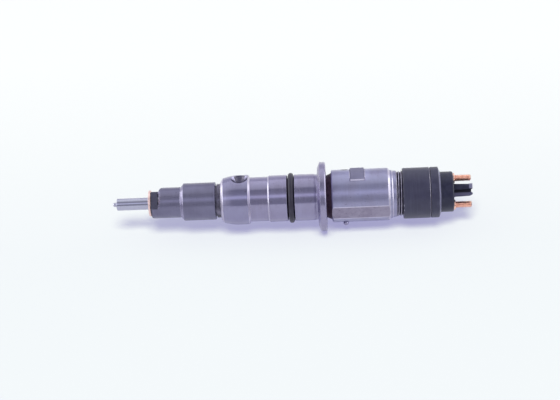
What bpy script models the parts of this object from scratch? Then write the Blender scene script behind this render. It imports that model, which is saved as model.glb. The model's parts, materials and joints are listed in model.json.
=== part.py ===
"""Solenoid common-rail fuel injector for a heavy diesel engine, as separate pieces.

The injector lies along X, with the nozzle towards -X and the terminals towards +X.
The origin is on the centreline at the terminal-side face of the clamp flange, and
the high-pressure inlet opens towards +Z.

Turned pieces are drawn as outlines of (station, radius) pairs in millimetres, with
station 0 at the nozzle tip. Clock angles are seen from the terminals: 0 points to -Y
and 90 points to +Z.
"""

import math

import bmesh
import bpy
from mathutils import Matrix, Vector

MM = 0.001

# Driving stations along the centreline, from the nozzle tip
CLAMP_FACE = 123.6
SHANK_END = 26.7
WASHER_START = 21.0
NUT_START = 22.6
NUT_STEP = 39.6
NUT_END = 59.8
NOZZLE_TOP = 42.0
SPIGOT_START = 42.3
NECK_START = 60.6
BODY_START = 62.4
INLET_LAND_START = 70.0
INLET_LAND_END = 78.4
INLET_STATION = 74.0
GROOVE_START = 100.4
GROOVE_END = 105.3
FLANGE_START = 118.8
UPPER_START = 126.7
RETURN_STATION = 134.4
KEY_START = 137.7
KEY_END = 145.8
CUP_FLOOR = 150.0
UPPER_END = 159.2
NECK_END = 163.8
BODY_END = 176.3
SLEEVE_START = 167.6
SLEEVE_END = 183.2
CAP_START = 183.5
CAP_STEP = 189.3
CAP_END = 196.5
STUD_END = 206.9
PRONG_END = 207.5

# Driving radii
TIP_R = 1.25
SHANK_R = 3.5
COLLAR_R = 7.0
WASHER_R = 7.5
NUT_SMALL_R = 8.8
NUT_BIG_R = 10.8
SPIGOT_R = 8.7
NECK_R = 9.75
INLET_LAND_R = 14.3
BODY_R = 13.4
BODY_WAIST_R = 12.8
GROOVE_R = 11.2
O_RING_R = 14.5
FLANGE_R = 20.0
UPPER_R = 15.1
THREAD_R = 13.1
SLEEVE_R = 14.6
CAP_SMALL_R = 11.6
STUD_R = 1.95
STUD_COLLAR_R = 2.9
NEEDLE_R = 2.0
PISTON_R = 2.15
ARMATURE_BOLT_R = 1.5

# Other driving sizes
GAP = 0.3
RUNNING_FIT = 0.05
WRENCH_FLAT = 6.5
WRENCH_FLAT_CLOCKS = (48.0, 120.0, 192.0)
INLET_MOUTH_R = 5.0
INLET_CONE_DEG = 60.0
INLET_BORE_R = 1.2
GALLERY_R = 0.8
GALLERY_OFFSET = 5.3
RETURN_OFFSET = 8.7
RETURN_HOLE_R = 1.3
RETURN_CLOCK = 113.0
PLUG_CLOCK = 300.0
PLUG_R = 1.5
PLUG_RISE = 0.5
CODE_FLAT = 14.45
CODE_FLAT_CLOCK = 346.0
CODE_FLAT_END = 159.9
SEAT_RELIEF = 0.2
O_RING_STATION = 103.2
O_RING_SECTION_R = 1.5
KEY_TOP = 14.4
KEY_FLOOR = 11.9
KEY_HALF_WIDTH = 6.9
TERMINAL_CLOCKS = {"upper": 120.0, "lower": 300.0}
TERMINAL_OFFSET = 7.6
PRONG_THICKNESS = {"upper": 3.4, "lower": 2.4}
PRONG_SLOT = 1.8
PRONG_WIDTH = 9.0
PRONG_WEB = 2.4
DOWEL_CLOCKS = {"left": 205.0, "right": 335.0}
DOWEL_R = 0.75

# Facets round a turned piece
COARSE = 32
FINE = 20
DRILL = 16
POINTS_PER_TURN = 8


def clear_scene():
    for item in list(bpy.data.objects):
        bpy.data.objects.remove(item, do_unlink=True)


def new_collection(name):
    collection = bpy.data.collections.new(name)
    bpy.context.scene.collection.children.link(collection)
    return collection


def material(name, colour, metallic, roughness):
    """A Principled material with one colour, metallic value and roughness."""
    made = bpy.data.materials.new(name)
    made.use_nodes = True
    made.diffuse_color = (*colour, 1.0)
    shader = made.node_tree.nodes["Principled BSDF"]
    shader.inputs["Base Color"].default_value = (*colour, 1.0)
    shader.inputs["Metallic"].default_value = metallic
    shader.inputs["Roughness"].default_value = roughness
    return made


def place(station, offset=0.0, clock=90.0):
    """The point in metres at a station, an offset from the centreline and a clock angle."""
    angle = math.radians(clock)
    return Vector((station - CLAMP_FACE, -offset * math.cos(angle), offset * math.sin(angle))) * MM


def add_object(name, mesh, collection, finish=None):
    made = bpy.data.objects.new(name, mesh)
    collection.objects.link(made)
    if finish is not None:
        mesh.materials.append(finish)
    return made


def turned(name, outer, bore=(), finish=None, segments=COARSE):
    """A turned piece. Both outlines run from the nozzle side to the terminal side.

    A bore that starts or ends at radius 0 is blind there, and an empty one leaves the
    piece solid.
    """
    outside = list(reversed(outer))
    closed = False
    if not bore:
        outline = [(outer[-1][0], 0.0), *outside, (outer[0][0], 0.0)]
    elif bore[0][1] == 0.0:
        outline = [*bore, *outside, (outer[0][0], 0.0)]
    elif bore[-1][1] == 0.0:
        outline = [(outer[-1][0], 0.0), *outside, *bore]
    else:
        outline = [*outside, *bore]
        closed = True
    mesh = bpy.data.meshes.new(name)
    shape = bmesh.new()
    points = [shape.verts.new((r * MM, 0.0, (s - CLAMP_FACE) * MM)) for s, r in outline]
    for first, second in zip(points, points[1:]):
        shape.edges.new((first, second))
    if closed:
        shape.edges.new((points[-1], points[0]))
    shape.to_mesh(mesh)
    shape.free()
    made = add_object(name, mesh, PARTS, finish)
    made.rotation_euler = (0.0, math.pi / 2, 0.0)
    screw = made.modifiers.new("Turn", "SCREW")
    screw.axis = "Z"
    screw.angle = 2 * math.pi
    screw.steps = segments
    screw.render_steps = segments
    screw.use_merge_vertices = True
    screw.merge_threshold = 0.00001
    return made


def ring(name, start, end, inner, outer, finish, segments=COARSE):
    """A plain turned ring."""
    return turned(name, [(start, outer), (end, outer)], [(start, inner), (end, inner)], finish, segments)


def cutter(name, mesh):
    made = add_object(name, mesh, CUTTERS)
    made.hide_render = True
    made.display_type = "WIRE"
    return made


def drill(name, start, end, start_r, end_r=None, segments=DRILL):
    """A round or conical cutter between two points in metres, with radii in millimetres."""
    run = end - start
    mesh = bpy.data.meshes.new(name)
    shape = bmesh.new()
    bmesh.ops.create_cone(
        shape,
        cap_ends=True,
        segments=segments,
        radius1=start_r * MM,
        radius2=(start_r if end_r is None else end_r) * MM,
        depth=run.length,
    )
    turn = run.to_track_quat("Z", "Y").to_matrix().to_4x4()
    bmesh.ops.transform(shape, matrix=Matrix.Translation((start + end) / 2) @ turn, verts=shape.verts)
    shape.to_mesh(mesh)
    shape.free()
    return cutter(name, mesh)


def block(name, low, high, clock=90.0):
    """A box cutter from (station, across, up) corners, its up side turned to a clock angle."""
    mesh = bpy.data.meshes.new(name)
    shape = bmesh.new()
    bmesh.ops.create_cube(shape, size=1.0)
    low_corner = Vector((low[0] - CLAMP_FACE, low[1], low[2])) * MM
    high_corner = Vector((high[0] - CLAMP_FACE, high[1], high[2])) * MM
    size = high_corner - low_corner
    bmesh.ops.scale(shape, vec=size, verts=shape.verts)
    bmesh.ops.translate(shape, vec=(low_corner + high_corner) / 2, verts=shape.verts)
    turn = Matrix.Rotation(math.radians(90.0 - clock), 4, "X")
    bmesh.ops.transform(shape, matrix=turn, verts=shape.verts)
    shape.to_mesh(mesh)
    shape.free()
    return cutter(name, mesh)


def combine(target, operation, *tools):
    for tool in tools:
        boolean = target.modifiers.new(tool.name, "BOOLEAN")
        boolean.operation = operation
        boolean.solver = "EXACT"
        boolean.object = tool
    return target


def cut(target, *tools):
    return combine(target, "DIFFERENCE", *tools)


def coil_spring(name, start, end, mean_r, wire_r, turns, finish):
    """A helical spring as a bevelled curve whose centreline runs between two stations."""
    curve = bpy.data.curves.new(name, "CURVE")
    curve.dimensions = "3D"
    curve.bevel_depth = wire_r * MM
    curve.bevel_resolution = 2
    curve.use_fill_caps = True
    steps = round(turns * POINTS_PER_TURN)
    spline = curve.splines.new("POLY")
    spline.points.add(steps)
    for index, point in enumerate(spline.points):
        share = index / steps
        spot = place(start + (end - start) * share, mean_r, 360.0 * turns * share)
        point.co = (*spot, 1.0)
    curve.materials.append(finish)
    made = bpy.data.objects.new(name, curve)
    PARTS.objects.link(made)
    return made


def rod(name, start, end, radius, finish, segments=DRILL):
    """A plain round rod between two points in metres."""
    made = drill(name, start, end, radius, segments=segments)
    CUTTERS.objects.unlink(made)
    PARTS.objects.link(made)
    made.hide_render = False
    made.display_type = "TEXTURED"
    made.data.materials.append(finish)
    return made


def ball(name, centre, radius, finish):
    mesh = bpy.data.meshes.new(name)
    shape = bmesh.new()
    bmesh.ops.create_uvsphere(shape, u_segments=12, v_segments=8, radius=radius * MM)
    shape.to_mesh(mesh)
    shape.free()
    made = add_object(name, mesh, PARTS, finish)
    made.location = centre
    return made


def o_ring(name, station, major_r, section_r, finish):
    bpy.ops.mesh.primitive_torus_add(
        major_segments=COARSE,
        minor_segments=8,
        major_radius=major_r * MM,
        minor_radius=section_r * MM,
        location=place(station),
        rotation=(0.0, math.pi / 2, 0.0),
    )
    made = bpy.context.object
    made.name = name
    made.data.name = name
    made.data.materials.append(finish)
    for holder in list(made.users_collection):
        holder.objects.unlink(made)
    PARTS.objects.link(made)
    return made


def joint_axis(name, station, *children):
    """An empty on the centreline that carries the pieces of one moving group."""
    made = bpy.data.objects.new(name, None)
    made.empty_display_type = "SINGLE_ARROW"
    made.empty_display_size = 10 * MM
    made.location = place(station)
    PARTS.objects.link(made)
    for child in children:
        child.parent = made
        child.matrix_parent_inverse = Matrix.Translation(-made.location)
    return made


def apply_and_shade():
    """Applies the mesh pieces' modifiers and shades them smooth up to 30 degrees."""
    bpy.context.view_layer.update()
    graph = bpy.context.evaluated_depsgraph_get()
    meshes = [item for item in PARTS.objects if item.type == "MESH"]
    finished = {item: bpy.data.meshes.new_from_object(item.evaluated_get(graph)) for item in meshes}
    for item, mesh in finished.items():
        item.modifiers.clear()
        item.data = mesh
        mesh.shade_smooth()
        mesh.set_sharp_from_angle(angle=math.radians(30.0))


# ---- nozzle end ----


def make_nozzle_body():
    """The spray nozzle: a thin shank with its tip, and the collar that the nut clamps."""
    outer = [
        (0.0, 0.75),
        (0.35, 1.12),
        (0.8, TIP_R),
        (1.6, TIP_R),
        (2.4, SHANK_R),
        (SHANK_END, SHANK_R),
        (SHANK_END, COLLAR_R - 0.4),
        (SHANK_END + 0.4, COLLAR_R),
        (NOZZLE_TOP, COLLAR_R),
    ]
    bore = [
        (0.9, 0.0),
        (0.9, 0.45),
        (2.2, 0.45),
        (4.6, 1.9),
        (28.5, 1.9),
        (29.2, 3.2),
        (32.6, 3.2),
        (33.2, NEEDLE_R + RUNNING_FIT),
        (NOZZLE_TOP, NEEDLE_R + RUNNING_FIT),
    ]
    body = turned("nozzle_body", outer, bore, FINISH["nozzle_steel"], FINE)
    feed = drill("nozzle_feed_drilling", place(NOZZLE_TOP + 0.5, GALLERY_OFFSET), place(31.0, 2.4), 0.6)
    cut(body, feed, *dowel_holes("nozzle_dowel_hole", NOZZLE_TOP - 2.6, NOZZLE_TOP + 0.5))


def dowel_holes(name, start, end):
    return [
        drill(
            f"{name}_{side}",
            place(start, GALLERY_OFFSET, clock),
            place(end, GALLERY_OFFSET, clock),
            DOWEL_R + 0.1,
            segments=12,
        )
        for side, clock in DOWEL_CLOCKS.items()
    ]


def make_dowels():
    for side, clock in DOWEL_CLOCKS.items():
        start = place(NOZZLE_TOP - 2.3, GALLERY_OFFSET, clock)
        end = place(SPIGOT_START + 2.3, GALLERY_OFFSET, clock)
        rod(f"nozzle_dowel_{side}", start, end, DOWEL_R, FINISH["hard_steel"], 12)


def make_needle():
    outer = [
        (2.4, 0.15),
        (4.6, 1.45),
        (29.0, 1.45),
        (30.8, NEEDLE_R),
        (43.1, NEEDLE_R),
        (43.1, 1.4),
        (45.6, 1.4),
    ]
    return turned("nozzle_needle", outer, (), FINISH["hard_steel"], FINE)


def make_copper_washer():
    outer = [
        (WASHER_START, WASHER_R - 0.25),
        (WASHER_START + 0.25, WASHER_R),
        (NUT_START - 0.5, WASHER_R),
        (NUT_START - GAP, WASHER_R - 0.25),
    ]
    bore = [(WASHER_START, SHANK_R + GAP), (NUT_START - GAP, SHANK_R + GAP)]
    turned("copper_washer", outer, bore, FINISH["copper"])


def make_nozzle_nut():
    """The nut that pulls the nozzle onto the body, with three wrench flats at its nose."""
    outer = [
        (NUT_START, NUT_SMALL_R - 0.45),
        (NUT_START + 0.45, NUT_SMALL_R),
        (NUT_STEP, NUT_SMALL_R),
        (NUT_STEP + 1.7, NUT_BIG_R),
        (NUT_END - 0.3, NUT_BIG_R),
        (NUT_END, NUT_BIG_R - 0.3),
    ]
    bore = [
        (NUT_START, SHANK_R + GAP),
        (SHANK_END - GAP, SHANK_R + GAP),
        (SHANK_END - GAP, COLLAR_R + GAP),
        (SPIGOT_START, COLLAR_R + GAP),
        (SPIGOT_START, SPIGOT_R + GAP),
        (NUT_END, SPIGOT_R + GAP),
    ]
    nut = turned("nozzle_nut", outer, bore, FINISH["steel"])
    flats = [
        block(f"wrench_flat_{n}", (NUT_START - 1, -12.0, WRENCH_FLAT), (26.8, 12.0, 14.0), clock)
        for n, clock in enumerate(WRENCH_FLAT_CLOCKS)
    ]
    cut(nut, *flats)


def make_nozzle_spring_set():
    """The closing spring between its seat on the needle and the shim under the body step."""
    seat = ring("spring_seat", 43.4, 45.0, 1.55, 3.3, FINISH["hard_steel"], FINE)
    ring("spring_shim", 60.6, 61.7, 2.1, 3.3, FINISH["hard_steel"], FINE)
    coil_spring("nozzle_spring", 45.8, 59.9, 2.6, 0.6, 5.5, FINISH["spring_steel"])
    return seat


def make_control_piston():
    outer = [
        (45.9, 1.4),
        (46.2, 1.7),
        (63.0, 1.7),
        (64.0, PISTON_R),
        (150.2, PISTON_R),
    ]
    return turned("control_piston", outer, (), FINISH["hard_steel"], FINE)


# ---- body ----


def make_injector_body():
    """The forged body, from the nozzle thread to the thread of the solenoid sleeve."""
    outer = [
        (SPIGOT_START, SPIGOT_R - 0.4),
        (SPIGOT_START + 0.4, SPIGOT_R),
        (NECK_START, SPIGOT_R),
        (NECK_START, NECK_R),
        (BODY_START, NECK_R),
        (BODY_START, 11.4),
        (64.0, 12.9),
        (67.8, 13.4),
        (INLET_LAND_START, INLET_LAND_R),
        (INLET_LAND_END, INLET_LAND_R),
        (INLET_LAND_END + INLET_LAND_R - BODY_WAIST_R, BODY_WAIST_R),
        (90.1, BODY_WAIST_R),
        (90.8, BODY_R),
        (GROOVE_START - 0.3, BODY_R),
        (GROOVE_START, BODY_R - 0.3),
        (GROOVE_START, GROOVE_R),
        (GROOVE_END, GROOVE_R),
        (GROOVE_END, BODY_R - 0.3),
        (GROOVE_END + 0.3, BODY_R),
        (116.5, BODY_R),
        (FLANGE_START, BODY_WAIST_R),
        (FLANGE_START, FLANGE_R - 3.2),
        (FLANGE_START + 1.4, FLANGE_R),
        (CLAMP_FACE - 0.6, FLANGE_R),
        (CLAMP_FACE, FLANGE_R - 0.6),
        (CLAMP_FACE, UPPER_R + GAP),
        (CLAMP_FACE - SEAT_RELIEF, UPPER_R + GAP),
        (CLAMP_FACE - SEAT_RELIEF, 11.9),
        (UPPER_START, 13.4),
        (UPPER_START, UPPER_R - 0.4),
        (UPPER_START + 0.4, UPPER_R),
        (UPPER_END, UPPER_R),
        (UPPER_END + 1.2, UPPER_R - 1.2),
        (NECK_END, 13.3),
        (NECK_END, THREAD_R),
        (BODY_END, THREAD_R),
    ]
    bore = [
        (SPIGOT_START, 3.6),
        (62.0, 3.6),
        (62.0, 2.5),
        (140.0, 2.5),
        (140.0, 6.6),
        (CUP_FLOOR, 6.6),
        (CUP_FLOOR, 9.8),
        (158.0, 9.8),
        (158.0, 11.8),
        (BODY_END, 11.8),
    ]
    body = turned("injector_body", outer, bore, FINISH["steel"])
    slope = math.tan(math.radians(INLET_CONE_DEG / 2))
    cone_tip_r = INLET_BORE_R / 2
    cone_floor = INLET_LAND_R - (INLET_MOUTH_R - cone_tip_r) / slope
    overrun = 1.0
    cut(
        body,
        drill(
            "inlet_cone",
            place(INLET_STATION, cone_floor),
            place(INLET_STATION, INLET_LAND_R + overrun),
            cone_tip_r,
            INLET_MOUTH_R + overrun * slope,
            FINE,
        ),
        drill(
            "inlet_channel",
            place(INLET_STATION, GALLERY_OFFSET),
            place(INLET_STATION, cone_floor + 3.0),
            INLET_BORE_R,
        ),
        drill(
            "pressure_gallery",
            place(SPIGOT_START - 0.5, GALLERY_OFFSET),
            place(140.8, GALLERY_OFFSET),
            GALLERY_R,
        ),
        drill(
            "return_gallery",
            place(RETURN_STATION, RETURN_OFFSET, RETURN_CLOCK),
            place(CUP_FLOOR + 0.5, RETURN_OFFSET, RETURN_CLOCK),
            GALLERY_R,
        ),
        drill(
            "return_hole",
            place(RETURN_STATION, RETURN_OFFSET, RETURN_CLOCK),
            place(RETURN_STATION, UPPER_R + 1.0, RETURN_CLOCK),
            RETURN_HOLE_R,
        ),
        drill(
            "plug_hole",
            place(RETURN_STATION, 11.0, PLUG_CLOCK),
            place(RETURN_STATION, UPPER_R + 1.0, PLUG_CLOCK),
            PLUG_R + 0.15,
        ),
        block(
            "code_flat",
            (UPPER_START - 1.0, -8.0, CODE_FLAT),
            (CODE_FLAT_END, 8.0, UPPER_R + 2.0),
            CODE_FLAT_CLOCK,
        ),
        block(
            "key_slot",
            (KEY_START - GAP, -KEY_HALF_WIDTH - GAP, KEY_FLOOR - GAP),
            (KEY_END + GAP, KEY_HALF_WIDTH + GAP, UPPER_R + 2.0),
        ),
        *dowel_holes("body_dowel_hole", SPIGOT_START - 0.5, SPIGOT_START + 2.6),
    )


def make_orientation_key():
    """The key that clocks the injector in its bore, pressed into a cross slot."""
    made = block(
        "orientation_key",
        (KEY_START, -KEY_HALF_WIDTH, KEY_FLOOR),
        (KEY_END, KEY_HALF_WIDTH, KEY_TOP),
    )
    CUTTERS.objects.unlink(made)
    PARTS.objects.link(made)
    made.hide_render = False
    made.display_type = "TEXTURED"
    made.data.materials.append(FINISH["steel"])
    bevel = made.modifiers.new("Edges", "BEVEL")
    bevel.width = 0.3 * MM
    bevel.segments = 1


# ---- control valve ----


def make_valve_body():
    """The guide of the control piston, with the throttle and the ball's seat at its top."""
    outer = [
        (140.3, 6.4),
        (142.6, 6.4),
        (142.6, 5.2),
        (145.0, 5.2),
        (145.0, 6.4),
        (CUP_FLOOR + GAP, 6.4),
        (CUP_FLOOR + GAP, 7.6),
        (153.0, 7.6),
    ]
    bore = [
        (140.3, PISTON_R + RUNNING_FIT),
        (150.8, PISTON_R + RUNNING_FIT),
        (151.8, 0.4),
        (152.6, 0.4),
        (153.0, 0.75),
    ]
    turned("valve_body", outer, bore, FINISH["hard_steel"], FINE)
    ring("valve_seal_ring", 142.9, 144.7, 5.45, 6.35, FINISH["seal_plastic"], FINE)


def make_armature_guide():
    outer = [
        (153.3, 7.5),
        (155.0, 7.5),
        (155.0, 4.6),
        (158.6, 4.6),
        (158.6, 2.9),
        (160.5, 2.9),
    ]
    bore = [
        (153.3, 2.3),
        (155.9, 2.3),
        (155.9, ARMATURE_BOLT_R + RUNNING_FIT),
        (160.5, ARMATURE_BOLT_R + RUNNING_FIT),
    ]
    turned("armature_guide", outer, bore, FINISH["hard_steel"], FINE)


def make_valve_clamp_nut():
    """The threaded ring that holds the armature guide and the valve body down."""
    nut = ring("valve_clamp_nut", 155.3, 158.9, 5.0, 9.5, FINISH["steel"])
    slot = block("spanner_slot", (157.6, -12.0, -1.0), (160.0, 12.0, 1.0))
    cut(nut, slot)


def make_valve_ball_set():
    valve_ball = ball("valve_ball", place(153.55, 0.0), 0.7, FINISH["hard_steel"])
    outer = [(154.0, 1.8), (155.2, 1.8)]
    cup = [(154.0, 1.0), (154.5, 0.6), (154.5, 0.0)]
    holder = turned("ball_holder", outer, cup, FINISH["hard_steel"], FINE)
    return valve_ball, holder


def make_armature():
    """The armature plate on its bolt, with the clip that keeps it there."""
    stem = [
        (155.5, ARMATURE_BOLT_R),
        (166.0, ARMATURE_BOLT_R),
        (166.0, 0.85),
        (167.4, 0.85),
    ]
    bolt = turned("armature_bolt", stem, (), FINISH["hard_steel"], FINE)
    plate = ring("armature_plate", 161.4, 163.3, 1.65, 9.5, FINISH["core_iron"])
    holes = [
        drill(f"oil_hole_{n}", place(160.9, 6.2, 45.0 + 90.0 * n), place(163.8, 6.2, 45.0 + 90.0 * n), 1.1)
        for n in range(4)
    ]
    cut(plate, *holes)
    clip = ring("armature_clip", 163.5, 164.1, 1.6, 2.8, FINISH["spring_steel"], FINE)
    coil_spring("armature_spring", 159.1, 160.9, 3.75, 0.3, 2.2, FINISH["spring_steel"])
    return plate, bolt, clip


# ---- solenoid ----


def make_solenoid():
    """The pot core with its coil, the valve spring, and the ring that sets the air gap."""
    ring("lift_ring", 158.3, 163.4, 10.1, 11.5, FINISH["hard_steel"])
    outer = [(163.7, 11.4), (178.3, 11.4)]
    face = [
        (163.7, 9.1),
        (173.2, 9.1),
        (173.2, 5.3),
        (163.7, 5.3),
        (163.7, 3.3),
        (168.0, 3.3),
        (168.0, 2.4),
        (176.7, 2.4),
        (176.7, 0.0),
    ]
    core = turned("solenoid_core", outer, face, FINISH["core_iron"])
    holes = []
    for side, clock in TERMINAL_CLOCKS.items():
        low = place(172.9, TERMINAL_OFFSET, clock)
        holes.append(drill(f"lead_hole_{side}", low, place(178.6, TERMINAL_OFFSET, clock), 0.8))
        start = place(173.0, TERMINAL_OFFSET, clock)
        rod(f"coil_lead_{side}", start, place(185.7, TERMINAL_OFFSET, clock), 0.5, FINISH["copper"], 12)
    cut(core, *holes)
    ring("solenoid_coil", 164.2, 172.7, 5.6, 8.8, FINISH["coil_resin"])
    coil_spring("solenoid_spring", 166.5, 174.8, 1.5, 0.32, 5.0, FINISH["spring_steel"])
    turned("spring_set_disc", [(175.3, 2.15), (176.4, 2.15)], (), FINISH["hard_steel"], FINE)
    o_ring("solenoid_o_ring", 177.3, 12.35, 0.7, FINISH["rubber"])


def make_solenoid_nut():
    """The black sleeve that screws over the body and clamps the solenoid."""
    outer = [
        (SLEEVE_START, SLEEVE_R - 0.3),
        (SLEEVE_START + 0.3, SLEEVE_R),
        (SLEEVE_END - 0.25, SLEEVE_R),
        (SLEEVE_END, SLEEVE_R - 0.25),
    ]
    bore = [
        (SLEEVE_START, THREAD_R + GAP),
        (178.4, THREAD_R + GAP),
        (178.4, 12.0),
        (SLEEVE_END, 12.0),
    ]
    turned("solenoid_nut", outer, bore, FINISH["black_steel"])


def make_connector_cap():
    """The moulded cap with the channel-shaped barrier between the two terminals."""
    outer = [
        (178.6, 11.7),
        (CAP_START, 11.7),
        (CAP_START, SLEEVE_R - 0.2),
        (CAP_START + 0.2, SLEEVE_R),
        (CAP_STEP - 1.3, SLEEVE_R),
        (CAP_STEP, CAP_SMALL_R),
        (CAP_END - 0.4, CAP_SMALL_R),
        (CAP_END, CAP_SMALL_R - 0.4),
    ]
    cap = turned("connector_cap", outer, (), FINISH["black_plastic"])
    root = PRONG_SLOT / 2
    prongs = []
    for side, clock in TERMINAL_CLOCKS.items():
        low = (CAP_END - 1.5, -PRONG_WIDTH / 2, root)
        high = (PRONG_END, PRONG_WIDTH / 2, root + PRONG_THICKNESS[side])
        prongs.append(block(f"prong_{side}", low, high, clock))
    web_low = (CAP_END - 1.5, PRONG_WIDTH / 2 - PRONG_WEB, -root - 0.5)
    web_high = (PRONG_END - 0.4, PRONG_WIDTH / 2 - 0.2, root + 0.5)
    web = block("prong_web", web_low, web_high, TERMINAL_CLOCKS["upper"])
    combine(cap, "UNION", *prongs, web)
    sockets = []
    for side, clock in TERMINAL_CLOCKS.items():
        foot = place(186.0, TERMINAL_OFFSET, clock)
        mouth = place(CAP_END + 0.5, TERMINAL_OFFSET, clock)
        sockets.append(drill(f"stud_socket_{side}", foot, mouth, STUD_R + 0.15))
        lead = place(178.0, TERMINAL_OFFSET, clock)
        sockets.append(drill(f"lead_passage_{side}", lead, place(186.5, TERMINAL_OFFSET, clock), 0.8))
    cut(cap, *sockets)


def make_terminals():
    """The two copper-plated M4 studs that take the ring terminals."""
    for side, clock in TERMINAL_CLOCKS.items():
        stud = turned(
            f"terminal_stud_{side}",
            [
                (186.3, STUD_R),
                (CAP_END + GAP, STUD_R),
                (CAP_END + GAP, STUD_COLLAR_R),
                (CAP_END + 1.1, STUD_COLLAR_R),
                (CAP_END + 1.1, STUD_R),
                (STUD_END - 0.5, STUD_R),
                (STUD_END, STUD_R - 0.5),
            ],
            (),
            FINISH["copper"],
            DRILL,
        )
        stud.location = place(CLAMP_FACE, TERMINAL_OFFSET, clock)


clear_scene()
PARTS = new_collection("fuel_injector")
CUTTERS = new_collection("cutters")
FINISH = {
    "steel": material("machined_steel", (0.30, 0.29, 0.36), 1.0, 0.32),
    "nozzle_steel": material("nozzle_steel", (0.42, 0.41, 0.48), 1.0, 0.3),
    "hard_steel": material("hardened_steel", (0.5, 0.5, 0.52), 1.0, 0.2),
    "spring_steel": material("spring_steel", (0.25, 0.25, 0.27), 1.0, 0.35),
    "core_iron": material("core_iron", (0.2, 0.2, 0.21), 1.0, 0.5),
    "black_steel": material("black_steel", (0.06, 0.06, 0.09), 0.6, 0.4),
    "copper": material("copper", (0.72, 0.42, 0.33), 1.0, 0.35),
    "rubber": material("rubber", (0.03, 0.028, 0.035), 0.0, 0.6),
    "black_plastic": material("black_plastic", (0.04, 0.04, 0.06), 0.0, 0.45),
    "seal_plastic": material("seal_plastic", (0.75, 0.72, 0.65), 0.0, 0.5),
    "coil_resin": material("coil_resin", (0.35, 0.12, 0.05), 0.0, 0.5),
}
make_nozzle_body()
make_dowels()
needle = make_needle()
make_copper_washer()
make_nozzle_nut()
spring_seat = make_nozzle_spring_set()
piston = make_control_piston()
make_injector_body()
make_orientation_key()
ball("return_plug_ball", place(RETURN_STATION, UPPER_R + PLUG_RISE, PLUG_CLOCK), PLUG_R, FINISH["hard_steel"])
o_ring("body_o_ring", O_RING_STATION, O_RING_R - O_RING_SECTION_R, O_RING_SECTION_R, FINISH["rubber"])
make_valve_body()
make_armature_guide()
make_valve_clamp_nut()
valve_ball, ball_holder = make_valve_ball_set()
armature_pieces = make_armature()
make_solenoid()
make_solenoid_nut()
make_connector_cap()
make_terminals()
apply_and_shade()
joint_axis("needle_axis", NOZZLE_TOP, needle, spring_seat)
joint_axis("piston_axis", CUP_FLOOR, piston)
joint_axis("armature_axis", 161.4, *armature_pieces)
joint_axis("ball_axis", 153.0, valve_ball, ball_holder)
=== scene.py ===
import json
import math

import bmesh
import bpy
from mathutils import Matrix, Vector


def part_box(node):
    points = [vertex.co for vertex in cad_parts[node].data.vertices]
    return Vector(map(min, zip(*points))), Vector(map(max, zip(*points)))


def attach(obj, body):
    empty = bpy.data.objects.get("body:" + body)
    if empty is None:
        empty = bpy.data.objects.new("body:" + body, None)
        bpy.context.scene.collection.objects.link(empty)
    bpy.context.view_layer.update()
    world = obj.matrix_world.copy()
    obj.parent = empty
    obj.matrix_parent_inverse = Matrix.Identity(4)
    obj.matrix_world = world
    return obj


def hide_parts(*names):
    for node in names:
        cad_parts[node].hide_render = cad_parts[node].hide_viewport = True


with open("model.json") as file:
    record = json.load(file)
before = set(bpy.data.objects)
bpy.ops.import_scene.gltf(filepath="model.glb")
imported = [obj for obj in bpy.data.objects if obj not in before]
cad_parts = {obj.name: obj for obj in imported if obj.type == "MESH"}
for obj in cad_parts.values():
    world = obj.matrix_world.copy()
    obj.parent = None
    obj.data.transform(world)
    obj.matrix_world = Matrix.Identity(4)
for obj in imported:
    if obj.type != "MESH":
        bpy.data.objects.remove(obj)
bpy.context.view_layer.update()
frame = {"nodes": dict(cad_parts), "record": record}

# The looks of a solenoid common-rail injector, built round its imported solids. Outlines are
# (station, radius, fillet) in millimetres, with station 0 at the nozzle tip. Clock angles are in
# degrees: 0 points to -Y and 90 points to +Z.

MM = 0.001
TIP_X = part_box("nozzle_body")[0][0]
FLOOR_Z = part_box("injector_body")[0][2]
HOUSING = "housing"


def low_station(node):
    """Where a CAD node starts along the centreline."""
    return (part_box(node)[0][0] - TIP_X) / MM


def high_station(node):
    """Where a CAD node ends along the centreline."""
    return (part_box(node)[1][0] - TIP_X) / MM


def radius_of(node):
    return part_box(node)[1][2] / MM


# Stations along the centreline, those of whole pieces from the frame
SAC_FLOOR = 0.9
TIP_END = 1.6
NEEDLE_SEAT_START = 2.2
NEEDLE_SEAT_END = 4.6
WASHER_START = low_station("copper_washer")
WASHER_END = high_station("copper_washer")
NUT_START = low_station("nozzle_nut")
NUT_END = high_station("nozzle_nut")
SHANK_END = 26.7
WRENCH_FLAT_END = 26.7
WRENCH_RAMP_END = 28.4
NOZZLE_TOP = high_station("nozzle_body")
SPIGOT_START = low_station("injector_body")
BODY_END = high_station("injector_body")
NUT_STEP = 39.6
NECK_START = 60.6
SPRING_BORE_END = 62.0
BODY_START = 63.0
BODY_NOSE_END = 64.4
INLET_LAND_START = 70.0
INLET_LAND_END = 78.9
INLET_STATION = 74.0
WAIST_END = 90.2
SEAL_LAND_START = 90.9
GROOVE_START = 101.3
GROOVE_END = 105.3
FLANGE_RAMP_START = 116.5
FLANGE_START = 118.8
CLAMP_FACE = -TIP_X / MM
UPPER_START = 126.7
RETURN_STATION = 134.4
KEY_START = low_station("orientation_key")
KEY_END = high_station("orientation_key")
VALVE_BORE_START = 140.0
CUP_FLOOR = 150.0
CUP_MOUTH = 158.0
UPPER_END = 159.2
CONE_STEP = 161.4
CONE_END = 162.0
NECK_END = 163.8
THREAD_END = 169.5
SLEEVE_START = low_station("solenoid_nut")
SLEEVE_END = high_station("solenoid_nut")
SLEEVE_SHELF = 178.4
CAP_FOOT = low_station("connector_cap")
CAP_START = 183.5
CAP_STEP = 189.3
CAP_END = 196.5
PRONG_END = high_station("connector_cap")
STUD_FOOT = low_station("terminal_stud_upper")
STUD_END = high_station("terminal_stud_upper")

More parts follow.
